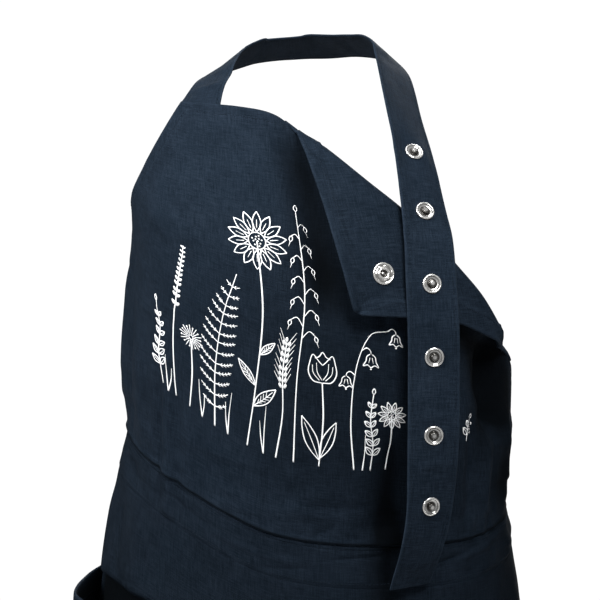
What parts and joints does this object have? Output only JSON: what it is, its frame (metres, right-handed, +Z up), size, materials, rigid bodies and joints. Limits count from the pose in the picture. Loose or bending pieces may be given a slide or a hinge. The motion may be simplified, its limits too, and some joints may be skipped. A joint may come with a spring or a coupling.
{
  "type": "gardening apron",
  "caption": "Bib apron in dark blue cloth, worn on a body: one bib corner folded down, a neck strap with snap studs hanging free, waistband, skirt and patch pockets.",
  "frame": {"origin": "middle of the neck strap, where it lies on the nape of the neck", "axes": "+Z up the body, -Y to the front of the wearer, +X to the right of someone facing the front of the apron"},
  "size_m": [0.4466, 0.2572, 0.9007],
  "materials": {
    "apron_cloth": "plain woven cotton cloth, matt, dark slate blue",
    "snap_metal": "bright nickel-plated snap fastener"
  },
  "bodies": {
    "root": {"bib": "apron_cloth", "waistband": "apron_cloth", "skirt": "apron_cloth", "pocket_left": "apron_cloth", "pocket_right": "apron_cloth", "neck_strap": "apron_cloth", "stud_1": "snap_metal", "stud_2": "snap_metal", "stud_3": "snap_metal", "stud_4": "snap_metal", "stud_5": "snap_metal", "stud_6": "snap_metal", "corner_socket": "snap_metal", "waist_tie": "apron_cloth"}
  },
  "joints": []
}
